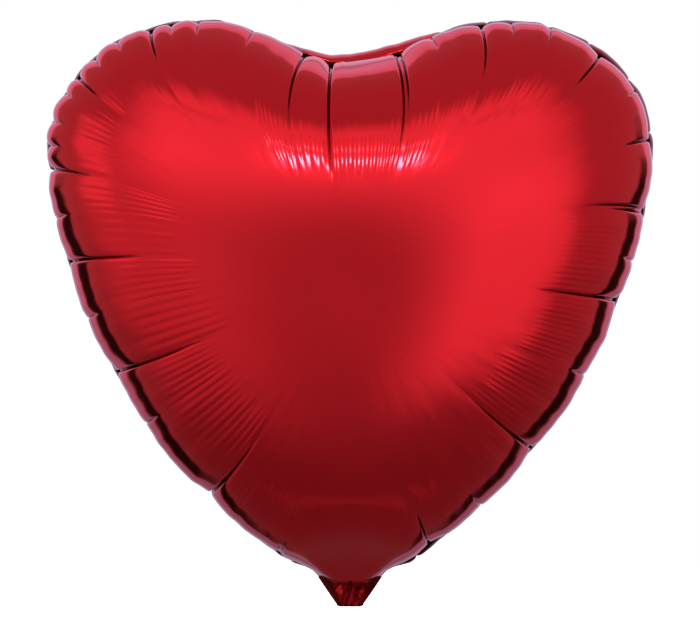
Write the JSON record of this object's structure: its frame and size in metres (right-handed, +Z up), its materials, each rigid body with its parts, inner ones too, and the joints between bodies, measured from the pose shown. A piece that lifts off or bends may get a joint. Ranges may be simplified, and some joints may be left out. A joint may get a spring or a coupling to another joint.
{
  "type": "heart foil balloon",
  "caption": "Inflated heart-shaped balloon of two heat-sealed metallised films, with a folding fill tail and a self-sealing film valve inside.",
  "frame": {"origin": "root of the neck, on the plane of the seam, where a ribbon is tied", "axes": "+X across the heart, +Y from the front panel to the rear panel, +Z up from the neck to the lobes"},
  "size_m": [0.3996, 0.168, 0.388],
  "materials": {
    "red_foil": "metallised plastic film, mirror gloss, red",
    "valve_film": "clear polyethylene film"
  },
  "bodies": {
    "envelope": {"front_panel": "red_foil", "rear_panel": "red_foil", "neck_valve_front_film": "valve_film", "neck_valve_rear_film": "valve_film"},
    "tail": {"tail_front_leaf": "red_foil", "tail_rear_leaf": "red_foil", "tail_valve_front_film": "valve_film", "tail_valve_rear_film": "valve_film"},
    "valve_front": {"valve_front_flap": "valve_film"},
    "valve_rear": {"valve_rear_flap": "valve_film"}
  },
  "joints": [
    {"name": "tail_fold", "type": "hinge", "parent": "envelope", "child": "tail", "pos_m": [0, 0.00115, -0.017], "axis": [-1, 0, 0], "range_deg": [0, 140]},
    {"name": "valve_front_open", "type": "hinge", "parent": "envelope", "child": "valve_front", "pos_m": [0, -0.00015, 0.003], "axis": [1, 0, 0], "range_deg": [0, 8]},
    {"name": "valve_rear_open", "type": "hinge", "parent": "envelope", "child": "valve_rear", "pos_m": [0, 0.00015, 0.003], "axis": [-1, 0, 0], "range_deg": [0, 8]}
  ],
  "couplings": [
    {"joint": "valve_rear_open", "follows": "valve_front_open", "ratio": 1}
  ]
}
